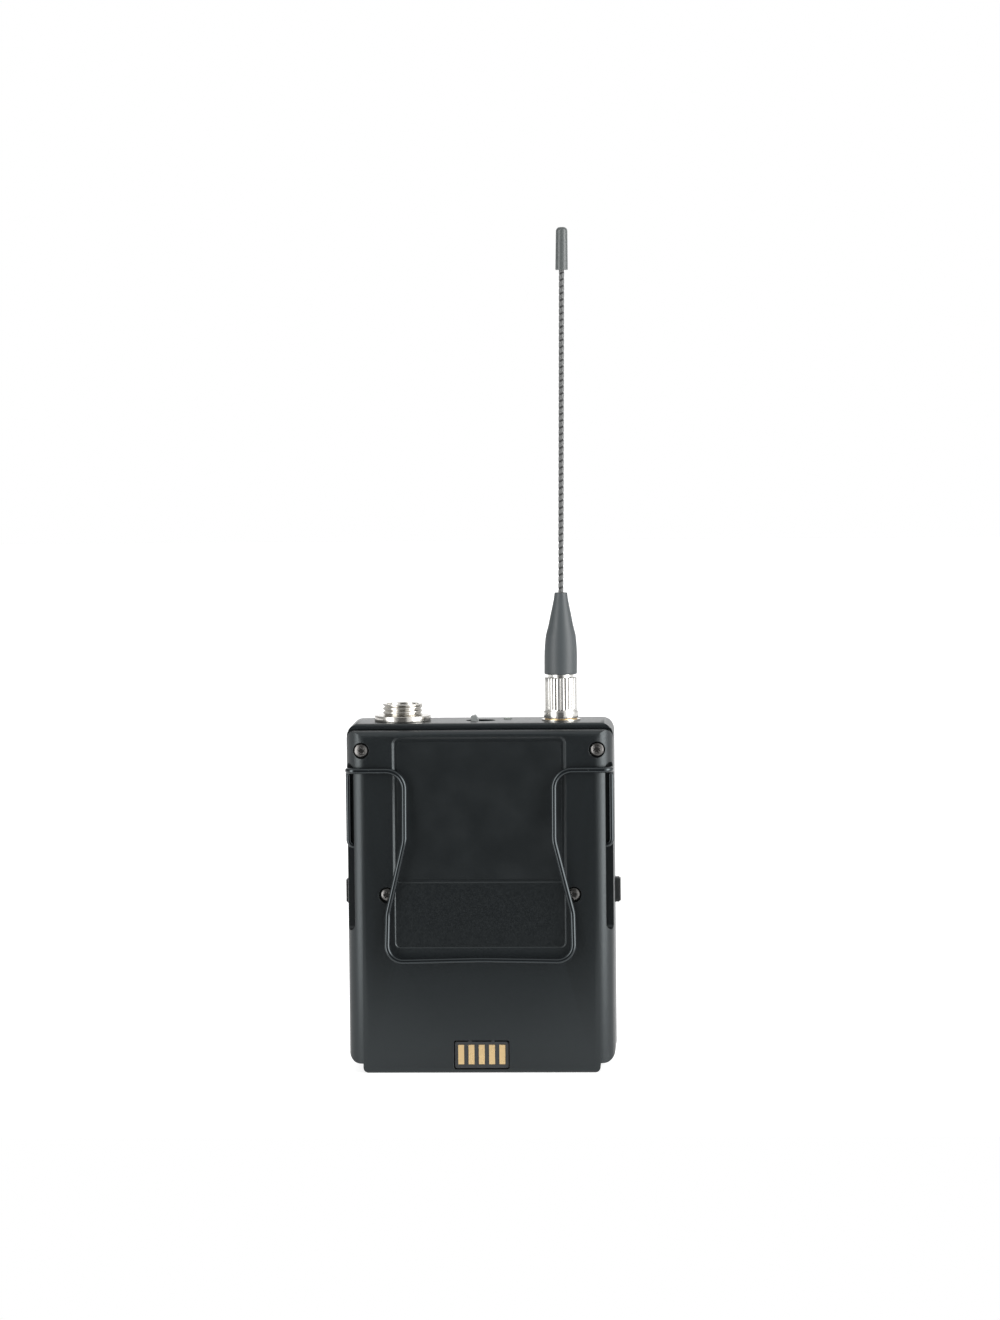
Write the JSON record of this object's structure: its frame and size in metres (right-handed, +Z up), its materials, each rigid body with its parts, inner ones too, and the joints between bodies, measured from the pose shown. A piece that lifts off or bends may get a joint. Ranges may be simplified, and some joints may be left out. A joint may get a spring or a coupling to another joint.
{
  "type": "wireless bodypack transmitter",
  "caption": "Belt-worn radio transmitter: cast case, sprung wire belt clip, screw-on whip antenna, threaded microphone jack, power lever, hinged battery door with side latches.",
  "frame": {"origin": "centre of the case's bottom rest face", "axes": "+Z up the case towards the antenna, +X towards the antenna side seen from the belt clip, -Y towards the belt clip, +Y towards the battery door"},
  "size_m": [0.0684, 0.0269, 0.208],
  "materials": {
    "case_paint": "fine-textured black powder coat on a magnesium casting",
    "door_paint": "fine-textured black powder coat",
    "screw_steel": "blackened steel",
    "bright_nickel": "nickel plate",
    "nut_nickel": "satin nickel plate",
    "gold": "gold plate",
    "clip_wire": "satin black coated spring wire",
    "black_plastic": "moulded black plastic",
    "insulator_plastic": "black insulator",
    "button_plastic": "moulded dark grey plastic",
    "lever_plastic": "moulded light grey plastic",
    "boot_rubber": "moulded soft rubber",
    "whip_jacket": "ribbed jacket over a helical winding",
    "cap_gloss": "polished black cap",
    "label_film": "blank printed film",
    "foam": "closed-cell foam",
    "battery_sleeve": "shrink sleeve",
    "board_green": "solder mask",
    "board_red": "reddish-brown circuit board",
    "tin_plate": "tin plate",
    "ptfe": "white dielectric",
    "wire_insulation": "coloured wire insulation",
    "coax_jacket": "brown coaxial jacket",
    "window_glass": "hard-coated clear window",
    "infrared_plastic": "dark red infrared filter",
    "lamp_plastic": "frosted light pipe",
    "display_panel": "display module"
  },
  "bodies": {
    "case": {"rear_cover": "case_paint", "front_housing": "case_paint", "case_screws": "screw_steel", "rating_label": "label_film", "belt_clip_arms": "clip_wire", "contact_block": "black_plastic", "charging_contacts": "gold", "contact_board": "board_red", "door_hinge_pin": "tin_plate", "latch_spring_left": "tin_plate", "latch_spring_right": "tin_plate", "battery_pack": "battery_sleeve", "battery_terminals": "gold", "main_board": "board_green", "board_screws": "tin_plate", "rf_shield": "tin_plate", "board_connector": "black_plastic", "interface_board": "board_green", "display_module": "display_panel", "display_window": "window_glass", "tact_switches": "tin_plate", "ir_window": "infrared_plastic", "mic_jack_shell": "bright_nickel", "mic_jack_collar_nut": "bright_nickel", "mic_jack_inner_nut": "bright_nickel", "antenna_inner_nut": "bright_nickel", "mic_jack_insulator": "insulator_plastic", "mic_jack_pins": "gold", "mic_jack_wires": "wire_insulation", "antenna_jack": "gold", "antenna_jack_dielectric": "ptfe", "antenna_jack_contact": "gold", "antenna_washer": "bright_nickel", "antenna_pigtail": "coax_jacket", "power_switch_body": "black_plastic", "power_led_lens": "lamp_plastic"},
    "belt_clip": {"belt_clip": "clip_wire"},
    "battery_door": {"battery_door": "door_paint", "door_pad": "foam"},
    "latch_left": {"latch_button_left": "button_plastic"},
    "latch_right": {"latch_button_right": "button_plastic"},
    "key_up": {"menu_button_up": "button_plastic"},
    "key_down": {"menu_button_down": "button_plastic"},
    "key_enter": {"menu_button_enter": "button_plastic"},
    "key_exit": {"menu_button_exit": "button_plastic"},
    "power_lever": {"power_switch_lever": "lever_plastic"},
    "antenna": {"antenna_plug": "nut_nickel", "antenna_contact_pin": "gold", "antenna_boot": "boot_rubber", "antenna_whip": "whip_jacket", "antenna_tip_cap": "cap_gloss"},
    "antenna_nut": {"antenna_coupling_nut": "nut_nickel"}
  },
  "joints": [
    {"name": "belt_clip_lift", "type": "hinge", "parent": "case", "child": "belt_clip", "pos_m": [0, -0.0124, 0.0751], "axis": [-1, 0, 0], "range_deg": [0, 9], "stiffness_Nm_per_rad": 0.5},
    {"name": "battery_door_swing", "type": "hinge", "parent": "case", "child": "battery_door", "pos_m": [0, 0.0089, 0.003], "axis": [-1, 0, 0], "range_deg": [0, 90]},
    {"name": "latch_press_left", "type": "slide", "parent": "case", "child": "latch_left", "axis": [1, 0, 0], "range_m": [0, 0.001], "stiffness_N_per_m": 400, "deforming": ["latch_spring_left"]},
    {"name": "latch_press_right", "type": "slide", "parent": "case", "child": "latch_right", "axis": [-1, 0, 0], "range_m": [0, 0.001], "stiffness_N_per_m": 400, "deforming": ["latch_spring_right"]},
    {"name": "menu_up_press", "type": "slide", "parent": "case", "child": "key_up", "axis": [0, -1, 0], "range_m": [0, 0.0004], "stiffness_N_per_m": 800},
    {"name": "menu_down_press", "type": "slide", "parent": "case", "child": "key_down", "axis": [0, -1, 0], "range_m": [0, 0.0004], "stiffness_N_per_m": 800},
    {"name": "menu_enter_press", "type": "slide", "parent": "case", "child": "key_enter", "axis": [0, -1, 0], "range_m": [0, 0.0004], "stiffness_N_per_m": 800},
    {"name": "menu_exit_press", "type": "slide", "parent": "case", "child": "key_exit", "axis": [0, -1, 0], "range_m": [0, 0.0004], "stiffness_N_per_m": 800},
    {"name": "power_switch_throw", "type": "hinge", "parent": "case", "child": "power_lever", "pos_m": [0, 0.0005, 0.0808], "axis": [0, 1, 0], "range_deg": [0, 30]},
    {"name": "antenna_unscrew_lift", "type": "slide", "parent": "case", "child": "antenna", "axis": [0, 0, 1], "range_m": [0, 0.00353]},
    {"name": "antenna_nut_spin", "type": "hinge", "parent": "antenna", "child": "antenna_nut", "pos_m": [0.0199, 0.0005, 0.091], "axis": [0, 0, 1], "range_deg": [0, 1800]}
  ],
  "couplings": [
    {"joint": "antenna_nut_spin", "follows": "antenna_unscrew_lift", "rad_per_m": 8904.7}
  ]
}
